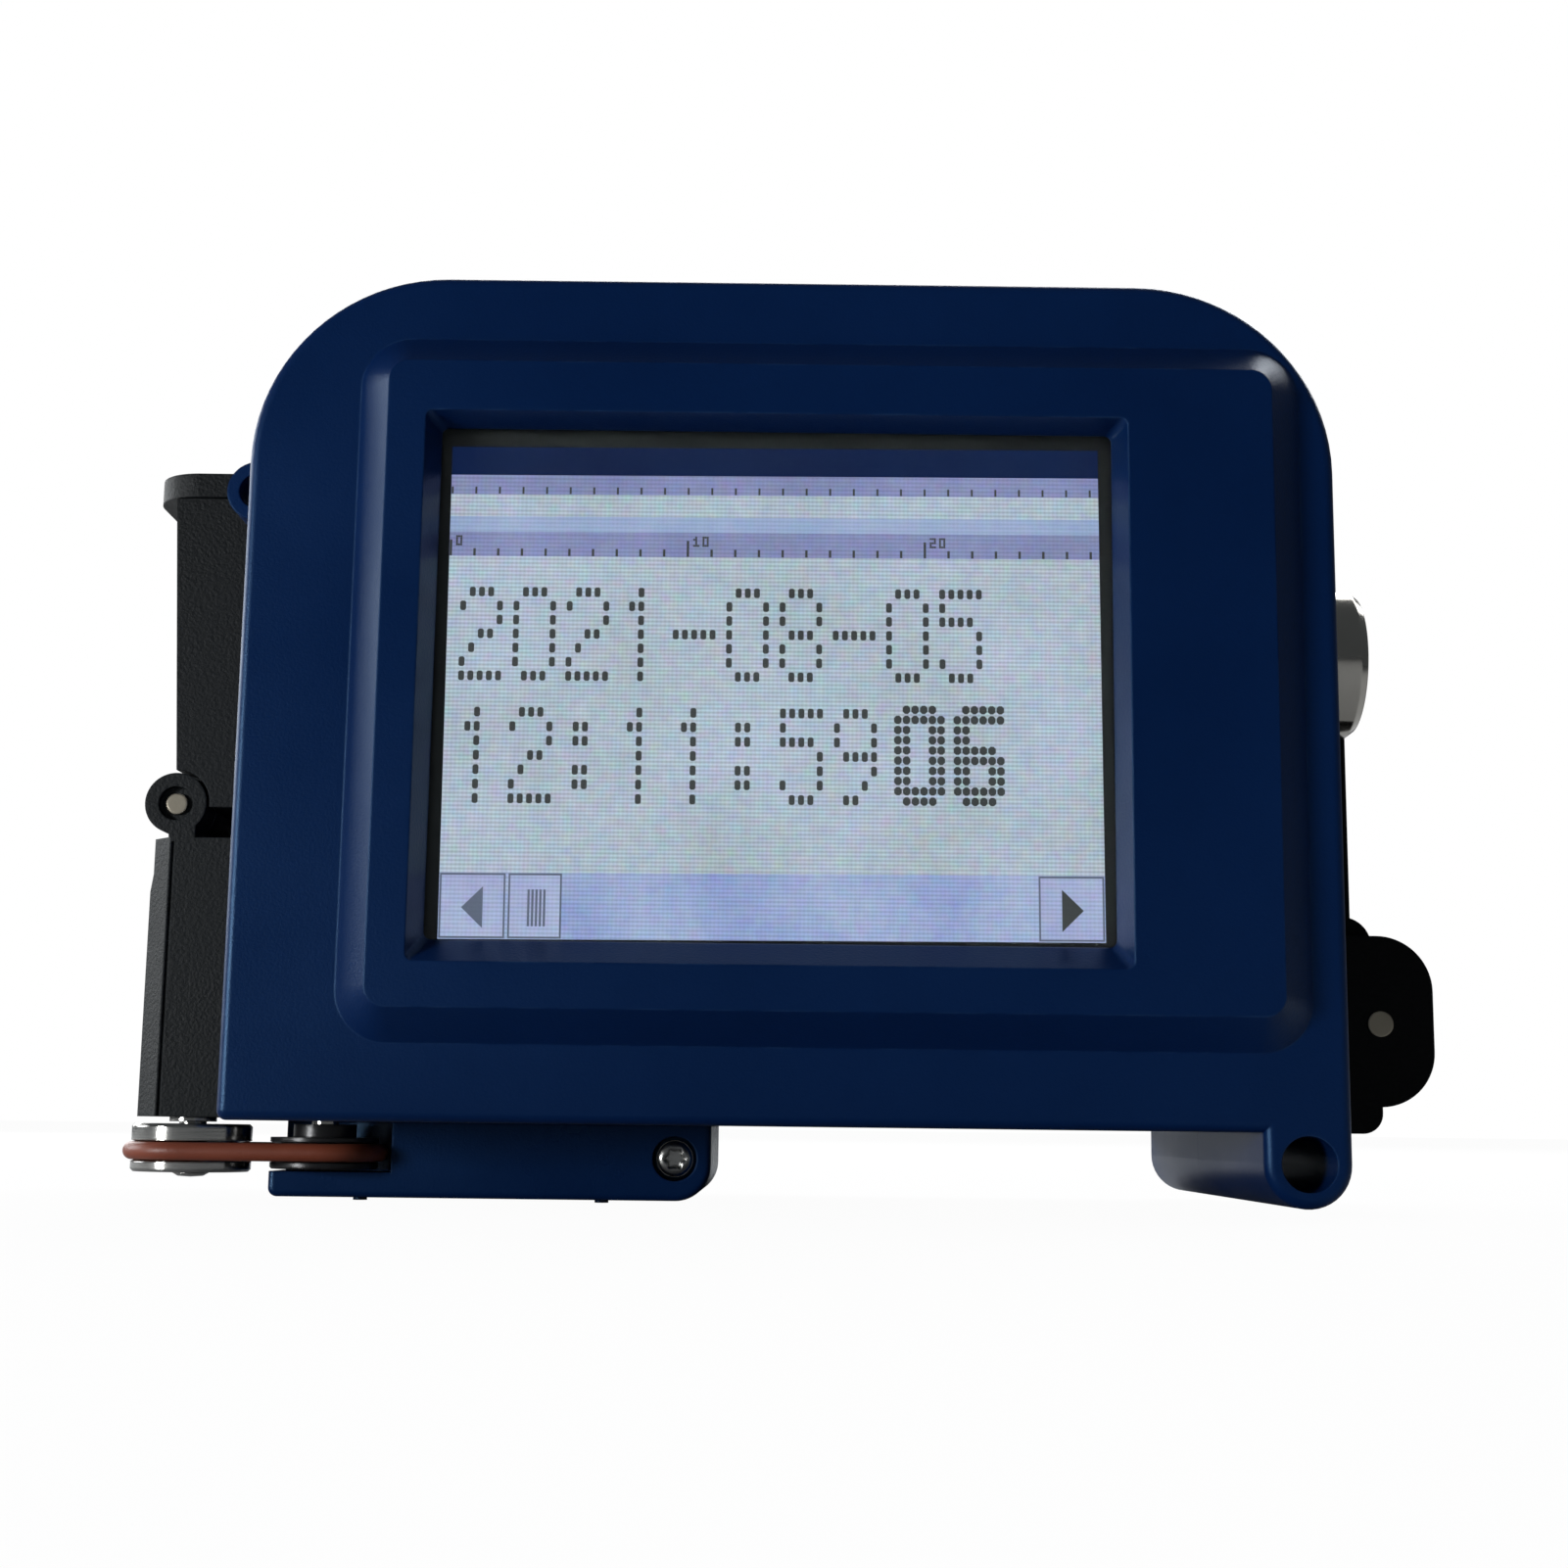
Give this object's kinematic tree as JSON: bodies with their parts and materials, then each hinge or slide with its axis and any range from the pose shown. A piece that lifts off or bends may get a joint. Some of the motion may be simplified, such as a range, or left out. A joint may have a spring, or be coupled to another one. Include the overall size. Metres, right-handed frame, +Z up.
{
  "type": "date code inkjet printer",
  "caption": "Hand-sized inkjet coder with a touch screen, side print nose, latch lever, belt-driven measuring roller, trigger button and battery door.",
  "frame": {"origin": "under the middle of the printer, on the plane of the two pips under the bracket", "axes": "+X to the right seen from the screen, +Y from the screen to the back, +Z up"},
  "size_m": [0.1508, 0.076, 0.1007],
  "materials": {
    "blue_shell": "fine metallic powder coat, satin",
    "black_plastic": "fine moulded texture",
    "soft_black": "smooth satin",
    "touch_glass": "clear, slightly matt",
    "lcd": "backlit screen",
    "steel": "machined",
    "zinc_plate": "zinc plated sheet",
    "chrome_trim": "polished",
    "circuit_board": "solder mask",
    "chip_black": "moulded epoxy",
    "ribbon": "polyimide film",
    "gold_contact": "gold plated",
    "cartridge_black": "moulded",
    "lid_grey": "moulded",
    "nozzle_gold": "gold plated nickel foil",
    "rubber_black": "matt",
    "belt_rubber": "silicone, satin",
    "bronze": "sintered bronze",
    "magnet": "nickel plated",
    "lens": "red infrared window",
    "pack_wrap": "shrink film"
  },
  "bodies": {
    "casing": {"front_cover": "blue_shell", "rear_cover": "blue_shell", "cover_screws": "steel", "touch_panel": "touch_glass", "display_module": "lcd", "display_plate": "zinc_plate", "display_spacers": "steel", "display_screws": "steel", "main_board": "circuit_board", "board_spacers": "steel", "board_screws": "steel", "board_parts": "chip_black", "buzzer": "chip_black", "display_ribbon": "ribbon", "cartridge_body": "cartridge_black", "cartridge_lid": "lid_grey", "nozzle_plate": "nozzle_gold", "cartridge_pads": "gold_contact", "cartridge_bay": "black_plastic", "contact_board": "circuit_board", "contact_pins": "gold_contact", "head_ribbon": "ribbon", "print_nose": "black_plastic", "nose_screws": "steel", "photo_sensor": "soft_black", "sensor_lens": "lens", "lever_pin": "steel", "roller_axle": "steel", "encoder_bushes": "bronze", "encoder_board": "circuit_board", "drive_belt": "belt_rubber", "encoder_bracket": "blue_shell", "clamp_screw": "steel", "bracket_screws": "steel", "button_bezel": "chrome_trim", "button_nut": "steel", "button_switch": "soft_black", "battery_tray": "black_plastic", "battery_pack": "pack_wrap", "battery_contacts": "gold_contact", "door_frame": "black_plastic", "door_pin": "steel", "frame_screws": "steel", "hatch_hinge_pin": "steel", "socket_board": "circuit_board", "data_socket": "steel", "power_socket": "soft_black"},
    "lever": {"latch_lever": "black_plastic", "lever_pad": "rubber_black"},
    "hatch": {"rear_hatch": "blue_shell"},
    "door": {"battery_door": "black_plastic"},
    "button": {"button_cap": "chrome_trim", "button_spring": "steel"},
    "roller": {"measuring_roller": "steel", "roller_bearings": "steel"},
    "encoder": {"encoder_pulley": "soft_black", "encoder_shaft": "steel", "encoder_magnet": "magnet"}
  },
  "joints": [
    {"name": "lever_swing", "type": "hinge", "parent": "casing", "child": "lever", "pos_m": [-0.0708, 0.00675, 0.0445], "axis": [0, -1, 0], "range_deg": [0, 100]},
    {"name": "hatch_swing", "type": "hinge", "parent": "casing", "child": "hatch", "pos_m": [0.0036, 0.036, 0.0455], "axis": [0, 0, -1], "range_deg": [0, 110]},
    {"name": "door_swing", "type": "hinge", "parent": "casing", "child": "door", "pos_m": [0.0691, 0.01545, 0.0217], "axis": [0, 1, 0], "range_deg": [0, 100]},
    {"name": "trigger_press", "type": "slide", "parent": "casing", "child": "button", "axis": [-1, 0, 0], "range_m": [0, 0.0014], "stiffness_N_per_m": 1200, "springref_m": -0.001},
    {"name": "roller_spin", "type": "hinge", "parent": "casing", "child": "roller", "pos_m": [-0.0679, -0.0125, 0.0055], "axis": [0, 0, 1], "continuous": true},
    {"name": "encoder_spin", "type": "hinge", "parent": "casing", "child": "encoder", "pos_m": [-0.0529, -0.0125, 0.0055], "axis": [0, 0, 1], "continuous": true}
  ],
  "couplings": [
    {"joint": "encoder_spin", "follows": "roller_spin", "ratio": 1.0656}
  ]
}
